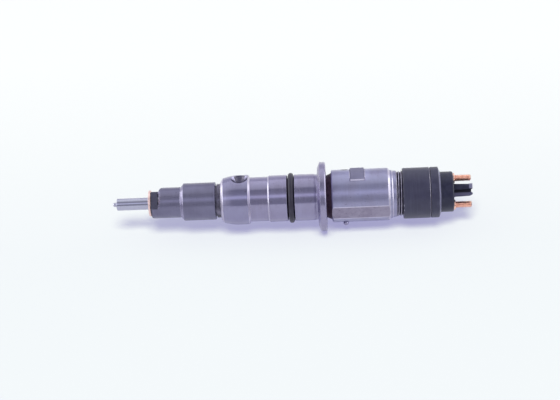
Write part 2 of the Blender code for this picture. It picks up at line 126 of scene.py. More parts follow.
# Radii
SAC_R = 0.45
TIP_R = 1.25
SHANK_BORE_R = 1.9
NEEDLE_GUIDE_R = 2.05
GALLERY_R = 3.2
SHANK_R = 3.5
COLLAR_R = radius_of("nozzle_body")
WASHER_R = radius_of("copper_washer")
NUT_SMALL_R = 8.8
NUT_BIG_R = radius_of("nozzle_nut")
SPIGOT_R = 8.7
NECK_R = 9.75
BODY_NOSE_LOW_R = 11.4
BODY_NOSE_R = 12.95
INLET_LAND_R = 14.3
BODY_R = 13.4
BODY_WAIST_R = 12.8
GROOVE_R = 11.2
SPRING_BORE_R = 3.6
PISTON_BORE_R = 2.5
VALVE_BORE_R = 6.6
CUP_R = 9.8
CUP_MOUTH_R = 11.8
FLANGE_R = radius_of("injector_body")
BROWN_NECK_LOW_R = 11.9
BROWN_NECK_R = 13.4
UPPER_R = 15.1
CONE_FOOT_R = 13.3
THREAD_R = 13.1
SLEEVE_R = radius_of("solenoid_nut")
SLEEVE_MOUTH_R = 12.0
CAP_FOOT_R = 11.7
CAP_SMALL_R = 11.6
STUD_R = 1.95
STUD_COLLAR_R = 2.9
O_RING_R = radius_of("body_o_ring")

# Faces of the body nearer the centreline than this are bores, or the magnet's cup in its upper part
BORE_FACES_R = 9.0
CUP_FACES_R = 12.2

# Other sizes and clock angles, piece by piece
SPRAY_HOLES = 8
SPRAY_R = 0.09
HAIRLINE = 0.06
NUT_CLEARANCE = 0.3
O_RING_SPREAD = 0.12
O_RING_SHIFT = 0.2
FLASH_RISE = 0.05
KEY_GAP = 0.15
SLOT_EDGE = 0.45
WRENCH_FLAT = 6.5
WRENCH_FLAT_CLOCKS = (48.0, 120.0, 192.0)
INLET_MOUTH_R = 5.0
INLET_BORE_R = 1.2
INLET_SHADE_R = 2.6
INLET_SLOPE = math.tan(math.radians(30.0))
INLET_REACH = 4.9
RETURN_CLOCK = 113.0
RETURN_HOLE_R = 1.3
RETURN_COUNTERSINK = 2.7
RETURN_REACH = 2.4
PLUG_CLOCK = 300.0
PLUG_R = 1.5
PLUG_RISE = 0.5
CODE_FLAT = 14.45
CODE_FLAT_CLOCK = 346.0
CODE_FLAT_END = 159.9
FLAT_REACH = 8.0
EDGE_FACET = 14.89
EDGE_FACET_TURN = 8.45
SEAT_RELIEF = 0.2
KEY_TOP = radius_of("orientation_key")
KEY_FLOOR = 11.9
KEY_HALF_WIDTH = 6.9
TERMINAL_CLOCKS = {"upper": 120.0, "lower": 300.0}
TERMINAL_OFFSET = 7.6
PRONG_THICKNESS = {"upper": 3.4, "lower": 2.4}
PRONG_SLOT = 1.8
PRONG_WIDTH = 9.0
PRONG_WEB = 2.4
NECK_PITCH = 1.5
NECK_THREAD_DEPTH = 0.8
STUD_PITCH = 0.7
STUD_THREAD_DEPTH = 0.36

# How fast the turning lines change round the piece, per metre
TURNING_DRIFT = 60.0

# Fineness of the turned meshes
AROUND = 192
DEFAULT_FILLET = 0.12
FILLET_STEPS = 4
LONGEST_STEP = 3.0


# ---- mesh tools ----


def spot(station, offset=0.0, clock=90.0):
    """The point in metres at a station, an offset from the centreline and a clock angle."""
    angle = math.radians(clock)
    return Vector((TIP_X + station * MM, -offset * MM * math.cos(angle), offset * MM * math.sin(angle)))


def outward(clock):
    """The direction away from the centreline at a clock angle."""
    return (spot(0.0, 1.0, clock) - spot(0.0)).normalized()


def filleted(corners, closed):
    """Rounds each corner of an outline of (station, radius, fillet), and drops the fillets."""
    count = len(corners)
    rounded = []
    for index, corner in enumerate(corners):
        here = Vector(corner[:2])
        size = corner[2] if len(corner) > 2 else DEFAULT_FILLET
        ends = not closed and index in (0, count - 1)
        if ends or size == 0.0 or here.y == 0.0:
            rounded.append(here)
            continue
        before = Vector(corners[index - 1][:2]) - here
        after = Vector(corners[(index + 1) % count][:2]) - here
        reach = min(size, before.length * 0.48, after.length * 0.48)
        start = here + before.normalized() * reach
        end = here + after.normalized() * reach
        for step in range(FILLET_STEPS + 1):
            t = step / FILLET_STEPS
            rounded.append(start * (1 - t) ** 2 + here * 2 * t * (1 - t) + end * t * t)
    return rounded


def subdivided(points, closed, step_at):
    """Splits long stretches of an outline so that no step is longer than step_at(station)."""
    dense = []
    pairs = list(zip(points, points[1:] + points[:1] if closed else points[1:]))
    for first, second in pairs:
        length = (second - first).length
        steps = max(1, math.ceil(length / step_at((first.x + second.x) / 2)))
        dense.extend(first.lerp(second, n / steps) for n in range(steps))
    if not closed:
        dense.append(points[-1])
    return dense


def default_step(_station):
    return LONGEST_STEP


def lathe(name, outer, bore=(), around=AROUND, step_at=default_step, ripple=None, offset=(0.0, 90.0)):
    """A turned mesh about the centreline, or about a line at an (offset, clock) from it.

    Both outlines run from the nozzle side to the terminal side. ripple(station, turn, radius)
    changes the radius round the piece, with turn from 0 to 1.
    """
    outside = list(reversed(outer))
    closed = bool(bore) and bore[0][1] > 0.0 and bore[-1][1] > 0.0
    if not bore:
        corners = [(outer[-1][0], 0.0, 0.0), *outside, (outer[0][0], 0.0, 0.0)]
    elif bore[0][1] == 0.0:
        corners = [*bore, *outside, (outer[0][0], 0.0, 0.0)]
    elif bore[-1][1] == 0.0:
        corners = [(outer[-1][0], 0.0, 0.0), *outside, *bore]
    else:
        corners = [*outside, *bore]
    points = subdivided(filleted(corners, closed), closed, step_at)
    centre = spot(0.0, *offset) - spot(0.0)
    shape = bmesh.new()
    rings = []
    for point in points:
        if point.y < 1e-6:
            rings.append([shape.verts.new(spot(point.x) + centre)])
            continue
        ring = []
        for index in range(around):
            turn = index / around
            radius = ripple(point.x, turn, point.y) if ripple else point.y
            ring.append(shape.verts.new(spot(point.x, radius, 360.0 * turn) + centre))
        rings.append(ring)
    pairs = list(zip(rings, rings[1:] + rings[:1] if closed else rings[1:]))
    for first, second in pairs:
        for index in range(around):
            after = (index + 1) % around
            quad = [first[index % len(first)], first[after % len(first)]]
            quad += [second[after % len(second)], second[index % len(second)]]
            face = list(dict.fromkeys(quad))
            if len(face) > 2:
                shape.faces.new(face)
    bmesh.ops.recalc_face_normals(shape, faces=shape.faces)
    return new_piece(name, shape)


def new_piece(name, shape):
    """An object from a bmesh, shaded smooth with sharp edges kept."""
    mesh = bpy.data.meshes.new(name)
    shape.to_mesh(mesh)
    shape.free()
    made = bpy.data.objects.new(name, mesh)
    bpy.context.scene.collection.objects.link(made)
    shade(made)
    return made


def shade(piece, angle=32.0):
    piece.data.shade_smooth()
    piece.data.set_sharp_from_angle(angle=math.radians(angle))


def cone_tool(start, end, start_r, end_r=None, around=48):
    """A round or conical cutter between two points in metres, with radii in millimetres."""
    run = end - start
    shape = bmesh.new()
    bmesh.ops.create_cone(
        shape,
        cap_ends=True,
        segments=around,
        radius1=start_r * MM,
        radius2=(start_r if end_r is None else end_r) * MM,
        depth=run.length,
    )
    turn = run.to_track_quat("Z", "Y").to_matrix().to_4x4()
    bmesh.ops.transform(shape, matrix=Matrix.Translation((start + end) / 2) @ turn, verts=shape.verts)
    return new_piece("tool", shape)


def prism_tool(outline, half_width, clock=90.0, middle=0.0):
    """An (station, height) outline pushed out to both sides, its height turned to a clock angle."""
    shape = bmesh.new()
    faces = []
    for side in (middle - half_width, middle + half_width):
        faces.append([shape.verts.new((TIP_X + s * MM, side * MM, h * MM)) for s, h in outline])
    shape.faces.new(faces[0])
    shape.faces.new(faces[1])
    for index in range(len(outline)):
        after = (index + 1) % len(outline)
        shape.faces.new((faces[0][index], faces[0][after], faces[1][after], faces[1][index]))
    turn = Matrix.Rotation(math.radians(90.0 - clock), 4, "X")
    bmesh.ops.transform(shape, matrix=turn, verts=shape.verts)
    bmesh.ops.recalc_face_normals(shape, faces=shape.faces)
    return new_piece("tool", shape)


def box_tool(low, high, clock=90.0):
    """A box from (station, across, height) corners, its height turned to a clock angle."""
    outline = [(low[0], low[2]), (high[0], low[2]), (high[0], high[2]), (low[0], high[2])]
    return prism_tool(outline, (high[1] - low[1]) / 2, clock, (high[1] + low[1]) / 2)


def bake_modifiers(piece):
    bpy.context.view_layer.update()
    graph = bpy.context.evaluated_depsgraph_get()
    mesh = bpy.data.meshes.new_from_object(piece.evaluated_get(graph))
    piece.modifiers.clear()
    old = piece.data
    piece.data = mesh
    bpy.data.meshes.remove(old)


def combine(piece, operation, tools):
    """Cuts tools from a piece or joins them to it, then removes them."""
    for tool in tools:
        boolean = piece.modifiers.new("Tool", "BOOLEAN")
        boolean.operation = operation
        boolean.solver = "EXACT"
        boolean.object = tool
    bake_modifiers(piece)
    for tool in tools:
        bpy.data.objects.remove(tool)
    shade(piece)
    return piece


def bevelled(piece, width, segments=2, angle=40.0):
    bevel = piece.modifiers.new("Edges", "BEVEL")
    bevel.width = width * MM
    bevel.segments = segments
    bevel.limit_method = "ANGLE"
    bevel.angle_limit = math.radians(angle)
    bevel.harden_normals = False
    bake_modifiers(piece)
    shade(piece)
    return piece


def paint_zones(piece, zones, zone_of):
    """Gives each face the material of the zone that zone_of(station, radius, face) names."""
    names = list(zones)
    piece.data.materials.clear()
    for material in zones.values():
        piece.data.materials.append(material)
    for face in piece.data.polygons:
        middle = face.center
        station = (middle.x - TIP_X) / MM
        radius = math.hypot(middle.y, middle.z) / MM
        face.material_index = names.index(zone_of(station, radius, face))


def install(piece, node, material=None):
    """Puts a finished piece in place of a CAD node."""
    if material is not None:
        piece.data.materials.clear()
        piece.data.materials.append(material)
    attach(piece, HOUSING)
    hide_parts(node)


def helix_depth(station, turn, pitch, depth, crest=0.18):
    """How far a thread's flank lies below its crest, as a V with a small flat."""
    phase = (station / pitch - turn) % 1.0
    return depth * min(1.0, max(0.0, (1.0 - abs(2.0 * phase - 1.0)) - crest) / (1.0 - 2.0 * crest))


# ---- materials ----


class Nodes:
    """Adds nodes to one node tree. A value given to a node is an output or a constant."""

    def __init__(self, tree):
        self.tree = tree

    def add(self, kind):
        return self.tree.nodes.new(kind)

    def link(self, source, target):
        self.tree.links.new(source, target)

    def feed(self, node, values):
        """Links or sets a node's inputs, each value under the index or name of its input."""
        for key, value in values.items():
            if hasattr(value, "links"):
                self.link(value, node.inputs[key])
            else:
                node.inputs[key].default_value = value

    def math(self, operation, first, second=0.0):
        node = self.add("ShaderNodeMath")
        node.operation = operation
        self.feed(node, {0: first, 1: second})
        return node.outputs[0]

    def coordinates(self, kind):
        return self.add("ShaderNodeTexCoord").outputs[kind]

    def combine(self, x, y, z):
        node = self.add("ShaderNodeCombineXYZ")
        self.feed(node, {0: x, 1: y, 2: z})
        return node.outputs[0]

    def split(self, vector):
        node = self.add("ShaderNodeSeparateXYZ")
        self.link(vector, node.inputs[0])
        return node.outputs

    def noise(self, vector, scale, detail=2.0, roughness=0.5, distortion=0.0):
        node = self.add("ShaderNodeTexNoise")
        self.feed(node, {"Vector": vector, "Scale": scale, "Detail": detail})
        self.feed(node, {"Roughness": roughness, "Distortion": distortion})
        return node.outputs["Fac"]

    def remap(self, value, low, high, to_low=0.0, to_high=1.0, easing="LINEAR"):
        node = self.add("ShaderNodeMapRange")
        node.interpolation_type = easing
        self.feed(node, {"Value": value, "From Min": low, "From Max": high})
        self.feed(node, {"To Min": to_low, "To Max": to_high})
        return node.outputs["Result"]

    def mix(self, factor, first, second):
        """A blend of two colours, each an output or three constants."""
        node = self.add("ShaderNodeMix")
        node.data_type = "RGBA"
        ends = [value if hasattr(value, "links") else (*value, 1.0) for value in (first, second)]
        self.feed(node, {0: factor, 6: ends[0], 7: ends[1]})
        return node.outputs[2]


class Surface(Nodes):
    """The nodes of one new material, round its Principled shader."""

    def __init__(self, name):
        self.material = bpy.data.materials.new(name)
        self.material.use_nodes = True
        super().__init__(self.material.node_tree)
        self.shader = self.tree.nodes["Principled BSDF"]

    def set(self, **values):
        """Links or sets the shader's inputs, with _ for each space in an input's name."""
        self.feed(self.shader, {label.replace("_", " "): value for label, value in values.items()})

    def position(self):
        return self.coordinates("Object")

    def bump(self, height, strength, distance_mm):
        node = self.add("ShaderNodeBump")
        self.feed(node, {"Strength": strength, "Distance": distance_mm * MM, "Height": height})
        self.set(Normal=node.outputs["Normal"])

    def edge_wear(self, low=0.52, high=0.60):
        """1 on convex edges and 0 on flat faces."""
        node = self.add("ShaderNodeNewGeometry")
        return self.remap(node.outputs["Pointiness"], low, high)


def scaled(colour, factor):
    return tuple(min(1.0, channel * factor) for channel in colour)


def turning_lines(nodes, per_mm):
    """Noise that runs round the piece in fine lines, along the barrel and on its faces."""
    x, y, z = nodes.split(nodes.position())
    squares = [nodes.math("MULTIPLY", value, value) for value in (y, z)]
    radius = nodes.math("SQRT", nodes.math("ADD", *squares))
    along = nodes.math("MULTIPLY", x, per_mm / MM)
    outwards = nodes.math("MULTIPLY", radius, per_mm / MM)
    drift = nodes.math("MULTIPLY", nodes.math("ADD", y, z), TURNING_DRIFT)
    return nodes.noise(nodes.combine(along, outwards, drift), 1.0, 3.0, 0.6)


def metal(name, colour, shade, roughness, anisotropy=0.85, lines=1.6, stain=0.5, bump=0.05):
    """Turned steel: fine lines round the piece, cloudy tone, small dark specks and worn edges."""
    nodes = Surface(name)
    nodes.set(Metallic=1.0, Anisotropic=anisotropy, Anisotropic_Rotation=0.25)
    grain = turning_lines(nodes, lines)
    position = nodes.position()
    brighter = scaled(colour, 1.22)
    clouds = nodes.remap(nodes.noise(position, 110.0, 4.0, 0.6), 0.38, 0.66)
    tone = nodes.mix(nodes.math("MULTIPLY", clouds, stain), colour, shade)
    lined = nodes.mix(nodes.remap(grain, 0.35, 0.75, 0.0, 0.28), tone, brighter)
    specks = nodes.remap(nodes.noise(position, 900.0, 2.0, 0.5), 0.67, 0.74)
    speckled = nodes.mix(nodes.math("MULTIPLY", specks, 0.45), lined, scaled(shade, 0.4))
    brightened = nodes.mix(nodes.math("MULTIPLY", nodes.edge_wear(), 0.5), speckled, brighter)
    rough = nodes.remap(grain, 0.3, 0.7, roughness * 0.85, roughness * 1.15)
    rough = nodes.math("ADD", rough, nodes.math("MULTIPLY", clouds, 0.06))
    tangent = nodes.add("ShaderNodeTangent")
    tangent.direction_type = "RADIAL"
    tangent.axis = "X"
    nodes.set(Base_Color=brightened, Roughness=rough, Tangent=tangent.outputs[0])
    nodes.bump(grain, bump, 0.02)
    return nodes.material


def mottled_metal(name, colour, patch, roughness, scale=420.0, metallic=0.8):
    """Rough, stained steel, such as phosphate or oil-burnt surfaces; its darkest copies are painted shade
    in bores, grooves and recesses.
    """
    nodes = Surface(name)
    position = nodes.position()
    patches = nodes.remap(nodes.noise(position, scale, 5.0, 0.65, 0.4), 0.36, 0.64)
    fine = nodes.noise(position, scale * 5.0, 3.0, 0.6)
    base = nodes.mix(patches, colour, patch)
    pitted = nodes.mix(nodes.remap(fine, 0.58, 0.75, 0.0, 0.6), base, scaled(colour, 0.45))
    rough = nodes.remap(patches, 0.0, 1.0, roughness, roughness * 0.75)
    nodes.set(Metallic=metallic, Base_Color=pitted, Roughness=rough)
    nodes.bump(fine, 0.35, 0.05)
    return nodes.material


def copper_finish(name, colour, tarnish, roughness, stain=0.5):
    """Soft copper, a little tarnished."""
    nodes = Surface(name)
    position = nodes.position()
    clouds = nodes.remap(nodes.noise(position, 500.0, 4.0, 0.6), 0.4, 0.68)
    fine = nodes.noise(position, 4200.0, 2.0, 0.5)
    base = nodes.mix(nodes.math("MULTIPLY", clouds, stain), colour, tarnish)
    rough = nodes.remap(fine, 0.3, 0.7, roughness * 0.85, roughness * 1.2)
    nodes.set(Metallic=1.0, Base_Color=base, Roughness=rough)
    nodes.bump(fine, 0.2, 0.02)
    return nodes.material


def polymer(name, colour, light, roughness, grain_per_m=3800.0, bump=0.25, specular=0.5):
    """Moulded plastic or rubber: fine grain, dusty clouds and paler rubbed edges."""
    nodes = Surface(name)
    position = nodes.position()
    fine = nodes.noise(position, grain_per_m, 3.0, 0.6)
    clouds = nodes.remap(nodes.noise(position, 260.0, 4.0, 0.6), 0.45, 0.75)
    dusty = nodes.mix(nodes.math("MULTIPLY", clouds, 0.35), colour, light)
    lightened = nodes.mix(nodes.math("MULTIPLY", nodes.edge_wear(0.53, 0.62), 0.6), dusty, light)
    rough = nodes.remap(fine, 0.3, 0.7, roughness * 0.85, roughness * 1.15)
    nodes.set(Metallic=0.0, Specular_IOR_Level=specular, Base_Color=lightened, Roughness=rough)
    nodes.bump(fine, bump, 0.03)
    return nodes.material


def black_oxide(name):
    """Black lacquer over turned steel, with faint turning lines and rubbed edges."""
    nodes = Surface(name)
    grain = turning_lines(nodes, 1.4)
    clouds = nodes.remap(nodes.noise(nodes.position(), 170.0, 4.0, 0.6), 0.4, 0.7)
    base = nodes.mix(nodes.math("MULTIPLY", clouds, 0.5), (0.031, 0.029, 0.066), (0.047, 0.043, 0.092))
    lined = nodes.mix(nodes.remap(grain, 0.5, 0.8, 0.0, 0.35), base, (0.075, 0.075, 0.13))
    brightened = nodes.mix(nodes.edge_wear(0.53, 0.60), lined, (0.24, 0.23, 0.32))
    rough = nodes.remap(grain, 0.3, 0.7, 0.34, 0.44)
    nodes.set(Metallic=0.0, Specular_IOR_Level=0.45, Base_Color=brightened, Roughness=rough)
    nodes.bump(grain, 0.12, 0.02)
    return nodes.material


# Turned and ground steel: colour, colour of its shaded patches, roughness
STEEL = metal("steel_turned", (0.315, 0.288, 0.440), (0.240, 0.208, 0.315), 0.20)
STEEL_LAND = metal("steel_land", (0.290, 0.272, 0.425), (0.23, 0.20, 0.31), 0.20, stain=0.4)
STEEL_DARK = metal("steel_nut", (0.198, 0.187, 0.290), (0.150, 0.138, 0.215), 0.36, anisotropy=0.8)
STEEL_UPPER = metal(
    "steel_upper", (0.325, 0.315, 0.485), (0.27, 0.245, 0.36), 0.34, anisotropy=0.7, stain=0.6
)
GROUND = metal("steel_ground", (0.46, 0.45, 0.58), (0.39, 0.38, 0.48), 0.10, lines=2.4, stain=0.3)
FLANGE_STEEL = metal(
    "steel_flange", (0.33, 0.30, 0.45), (0.26, 0.23, 0.34), 0.24, anisotropy=0.8, stain=0.6
)
MILLED = metal(
    "steel_milled", (0.205, 0.195, 0.30), (0.13, 0.12, 0.19), 0.34,
    anisotropy=0.2, lines=1.0, stain=0.9, bump=0.15,
)
NUT_NOSE = metal(
    "steel_nut_nose", (0.115, 0.11, 0.165), (0.085, 0.08, 0.12), 0.4, anisotropy=0.2, lines=1.2
)
# Brighter steel on chamfers, the facets beside the code flat, thread crests and some edges: a painted
# highlight
PAINTED_HIGHLIGHT_STEEL = metal(
    "steel_painted_highlight_edge", (0.56, 0.52, 0.68), (0.44, 0.40, 0.52), 0.3, anisotropy=0.3, stain=0.8
)
# Dark steel on the flanks and roots of the neck thread: painted shade in its grooves
THREAD = metal(
    "steel_thread_painted_shade", (0.110, 0.100, 0.150), (0.045, 0.040, 0.062), 0.30,
    anisotropy=0.5, lines=1.2, stain=0.9,
)

# Rough steel: colour, colour of its patches, roughness
CODE_FACE = mottled_metal(
    "steel_code_flat", (0.25, 0.215, 0.305), (0.33, 0.295, 0.40), 0.40, scale=130.0, metallic=1.0
)
# The neck under the flange: a brown stain, darkened further as painted shade in that recess
BROWN = mottled_metal("steel_brown_stain_and_painted_shade", (0.045, 0.026, 0.040), (0.090, 0.055, 0.078), 0.5)
# Dark steel for the neck below the body's nose and for faces of the inlet that face -Y and upwards:
# painted shade
PAINTED_SHADE_RECESS = mottled_metal(
    "steel_painted_shade_recess", (0.07, 0.065, 0.095), (0.20, 0.18, 0.26), 0.42, scale=260.0, metallic=0.95
)
# Dark steel in bores and holes: painted shade
BORE = mottled_metal("steel_bore_painted_shade", (0.035, 0.033, 0.045), (0.07, 0.065, 0.085), 0.5, scale=300.0)
# Near-black steel in the O-ring groove: painted shade
GROOVE = mottled_metal(
    "steel_groove_painted_shade", (0.010, 0.009, 0.012), (0.035, 0.032, 0.042), 0.6, scale=300.0, metallic=0.4
)

# Copper, rubber, plastic and lacquer: colour, colour where tarnished or rubbed, roughness
COPPER = copper_finish("copper_washer", (0.90, 0.66, 0.64), (0.76, 0.50, 0.47), 0.38)
PLATING = copper_finish("copper_plating", (0.95, 0.62, 0.52), (0.70, 0.38, 0.30), 0.26, stain=0.6)
RUBBER = polymer(
    "black_rubber", (0.019, 0.014, 0.034), (0.060, 0.050, 0.092), 0.42,
    grain_per_m=2600.0, bump=0.2, specular=0.4,
)
PLASTIC = polymer("black_plastic", (0.010, 0.010, 0.036), (0.055, 0.055, 0.11), 0.38, specular=0.4)
PLASTIC_RIM = polymer("black_plastic_rim", (0.031, 0.029, 0.066), (0.09, 0.085, 0.16), 0.40, specular=0.4)
PLASTIC_VIOLET = polymer("violet_plastic", (0.070, 0.065, 0.135), (0.11, 0.10, 0.19), 0.35)
# Pale plastic on the tip of the upper prong and on the cap's shoulder: a painted highlight
PLASTIC_PAINTED_HIGHLIGHT = polymer("plastic_painted_highlight", (0.16, 0.15, 0.26), (0.36, 0.35, 0.46), 0.35)
OXIDE = black_oxide("black_oxide")


# ---- pieces ----


def make_nozzle_body():
    """The rounded tip, the shank and the collar, round the bore and fuel gallery of the needle."""
    outer = [
        (0.0, 0.72, 0.5),
        (0.42, 1.16, 0.4),
        (0.9, TIP_R, 0.3),
        (TIP_END, TIP_R, 0.15),
        (TIP_END + 0.8, SHANK_R, 0.2),
        (SHANK_END, SHANK_R, 0.0),
        (SHANK_END, COLLAR_R - 0.4, 0.0),
        (SHANK_END + 0.4, COLLAR_R, 0.0),
        (NOZZLE_TOP, COLLAR_R),
    ]
    bore = [
        (SAC_FLOOR, 0.0),
        (SAC_FLOOR, SAC_R, 0.0),
        (NEEDLE_SEAT_START, SAC_R, 0.0),
        (NEEDLE_SEAT_END, SHANK_BORE_R, 0.0),
        (28.5, SHANK_BORE_R, 0.0),
        (29.2, GALLERY_R, 0.0),
        (32.6, GALLERY_R, 0.0),
        (33.2, NEEDLE_GUIDE_R, 0.0),
        (NOZZLE_TOP, NEEDLE_GUIDE_R, 0.0),
    ]
    piece = lathe("nozzle_tip_and_shank", outer, bore, around=128)
    sprays = []
    for hole in range(SPRAY_HOLES):
        clock = 360.0 * hole / SPRAY_HOLES
        sprays.append(cone_tool(spot(1.3, 0.3, clock), spot(0.95, 1.6, clock), SPRAY_R, around=12))
    combine(piece, "DIFFERENCE", sprays)
    install(piece, "nozzle_body", GROUND)


def make_copper_washer():
    """The pale seat washer against the nose of the nozzle nut."""
    hole_r = SHANK_R + NUT_CLEARANCE
    outer = [(WASHER_START, WASHER_R, 0.3), (WASHER_END, WASHER_R, 0.3)]
    bore = [(WASHER_START, hole_r, 0.15), (WASHER_END, hole_r, 0.15)]
    piece = lathe("seat_washer", outer, bore, around=128)
    install(piece, "copper_washer", COPPER)


def make_nozzle_nut():
    """The nut that pulls the nozzle onto the body, with its wrench flats, and brighter steel on its
    slopes as a painted highlight.
    """
    outer = [
        (NUT_START, NUT_SMALL_R - 0.5, 0.15),
        (NUT_START + 0.5, NUT_SMALL_R, 0.2),
        (NUT_STEP, NUT_SMALL_R, 0.35),
        (NUT_STEP + 1.7, NUT_BIG_R, 0.35),
        (NUT_END - 0.3, NUT_BIG_R, 0.2),
        (NUT_END, NUT_BIG_R - 0.3, 0.15),
    ]
    shelf = SHANK_END - NUT_CLEARANCE
    bore = [
        (NUT_START, SHANK_R + NUT_CLEARANCE, 0.2),
        (shelf, SHANK_R + NUT_CLEARANCE, 0.0),
        (shelf, COLLAR_R + NUT_CLEARANCE, 0.0),
        (SPIGOT_START, COLLAR_R + NUT_CLEARANCE, 0.0),
        (SPIGOT_START, SPIGOT_R + NUT_CLEARANCE, 0.0),
        (NUT_END, SPIGOT_R + NUT_CLEARANCE, 0.1),
    ]
    piece = lathe("nozzle_retaining_nut", outer, bore)
    flat = [
        (NUT_START - 1.0, WRENCH_FLAT),
        (WRENCH_FLAT_END - 0.1, WRENCH_FLAT),
        (WRENCH_FLAT_END + 0.1, WRENCH_FLAT + 0.15),
        (WRENCH_RAMP_END, NUT_SMALL_R + 0.1),
        (WRENCH_RAMP_END, NUT_SMALL_R + 3.0),
        (NUT_START - 1.0, NUT_SMALL_R + 3.0),
    ]
    combine(piece, "DIFFERENCE", [prism_tool(flat, 12.0, clock) for clock in WRENCH_FLAT_CLOCKS])

    def zone_of(station, radius, _face):
        if radius < NUT_SMALL_R - 0.02 and station < WRENCH_FLAT_END:
            return "nose"
        # The wrench-flat ramps and the step taper get the brighter body steel: a painted highlight
        ramp = radius < NUT_SMALL_R - 0.02 and WRENCH_FLAT_END < station < WRENCH_RAMP_END
        return "slope" if ramp or NUT_STEP < station < NUT_STEP + 1.8 else "barrel"

    paint_zones(piece, {"barrel": STEEL_DARK, "nose": NUT_NOSE, "slope": STEEL}, zone_of)
    install(piece, "nozzle_nut")


# The finishes of the injector body; some zones are painted shade in its hollows and one is a painted
# highlight
BODY_ZONES = {
    "plain": STEEL,
    "painted_shade_recess": PAINTED_SHADE_RECESS,
    "inlet_land": STEEL_LAND,
    "flange": FLANGE_STEEL,
    "brown_neck": BROWN,
    "upper": STEEL_UPPER,
    "thread": THREAD,
    "bore": BORE,
    "code_flat": CODE_FACE,
    "groove": GROOVE,
    "painted_highlight_edge": PAINTED_HIGHLIGHT_STEEL,
}

# The code flat and the narrow facets beside it: their turns from the flat's clock angle, and finishes;
# the facets' finish is a painted highlight
FACETS = {0.0: "code_flat", -EDGE_FACET_TURN: "painted_highlight_edge", EDGE_FACET_TURN: "painted_highlight_edge"}


def body_band(station, radius):
    """The zone of a face of the injector body by its place, as the first band that holds it."""
    bands = (
        # The walls of the return hole and plug seat, the inlet throat and the neck below the nose get
        # dark steel: painted shade
        ("bore", RETURN_STATION - RETURN_REACH, RETURN_STATION + RETURN_REACH, 7.0, UPPER_R - 0.03),
        ("bore", INLET_STATION - 3.0, INLET_STATION + 3.0, 4.0, 10.6),
        ("groove", GROOVE_START - 0.02, GROOVE_END + 0.02, 0.0, BODY_R - 0.35),
        ("painted_shade_recess", SPIGOT_START, BODY_START - 0.1, 0.0, math.inf),
        ("inlet_land", BODY_START - 0.1, INLET_LAND_END + 0.2, BORE_FACES_R, math.inf),
        ("brown_neck", CLAMP_FACE + 0.02, UPPER_START - 0.05, BORE_FACES_R, BROWN_NECK_R + 0.1),
        ("flange", FLANGE_START - 0.05, CLAMP_FACE + 0.02, BORE_FACES_R, math.inf),
        ("upper", UPPER_START - 0.05, NECK_END - 0.05, CUP_FACES_R, math.inf),
        # Thread crests get a painted highlight, and the flanks and roots below them painted shade
        ("painted_highlight_edge", NECK_END + 0.1, BODY_END, THREAD_R - 0.12, math.inf),
        ("thread", NECK_END - 0.05, BODY_END, CUP_FACES_R, math.inf),
    )
    for zone, start, end, inner, outer in bands:
        if start <= station <= end and inner <= radius <= outer:
            return zone
    return "plain" if radius > BORE_FACES_R else "bore"


def body_zone(station, radius, face):
    """The zone of a face of the injector body by its place and by the way it faces."""
    zone = body_band(station, radius)
    if zone == "upper":
        for turn, facet in FACETS.items():
            if face.normal.dot(outward(CODE_FLAT_CLOCK + turn)) > 0.99999:
                zone = facet
    by_inlet = abs(station - INLET_STATION) < INLET_REACH
    beside_key = zone == "upper" and KEY_START - 1.0 < station < KEY_END + 1.0
    end_cone = zone == "upper" and UPPER_END < station < CONE_END + 0.1
    turned = zone in ("plain", "inlet_land") and BODY_START < station < SEAL_LAND_START + 0.6
    # Chamfers and slopes that face along the centreline, by the key, on the end cone and on the nose
    # part, get a painted highlight
    if 0.45 < abs(face.normal.x) < 0.95 and (beside_key or end_cone or turned and not by_inlet):
        zone = "painted_highlight_edge"
    # Faces near the inlet that face -Y and upwards get painted shade
    if by_inlet and radius < INLET_LAND_R - 0.3 and face.normal.y < -0.6 and face.normal.z > 0.2:
        zone = "painted_shade_recess"
    return zone


def slot_edge_tool(station, width):
    """A cutter that breaks one end edge of the key slot, following the barrel."""
    low, high = sorted((station - 0.3 * width, station + width))
    depth = abs(width)
    inner_low = UPPER_R - depth if width > 0 else UPPER_R + 0.2
    inner_high = UPPER_R + 0.2 if width > 0 else UPPER_R - depth
    outer = [(low, UPPER_R + 1.0, 0.0), (high, UPPER_R + 1.0, 0.0)]
    ring = lathe("tool", outer, [(low, inner_low, 0.0), (high, inner_high, 0.0)])
    reach = KEY_HALF_WIDTH + HAIRLINE
    block = box_tool((low - 1.0, -reach, KEY_FLOOR), (high + 1.0, reach, UPPER_R + 3.0))
    return combine(ring, "INTERSECT", [block])


def inlet_tools():
    """Cutters of the conical inlet, its throat, which is painted dark as shade, and its feed bore."""
    throat_r = INLET_BORE_R / 2
    floor = INLET_LAND_R - (INLET_MOUTH_R - throat_r) / INLET_SLOPE
    seat = floor + (INLET_SHADE_R - throat_r) / INLET_SLOPE
    mouth = spot(INLET_STATION, INLET_LAND_R + 1.0)
    throat = spot(INLET_STATION, floor)
    throat_top = spot(INLET_STATION, seat + 0.001)
    return [
        cone_tool(spot(INLET_STATION, seat), mouth, INLET_SHADE_R, INLET_MOUTH_R + INLET_SLOPE, 96),
        cone_tool(throat, throat_top, throat_r, INLET_SHADE_R, 96),
        cone_tool(spot(INLET_STATION, 5.3), spot(INLET_STATION, floor + 3.0), INLET_BORE_R),
    ]


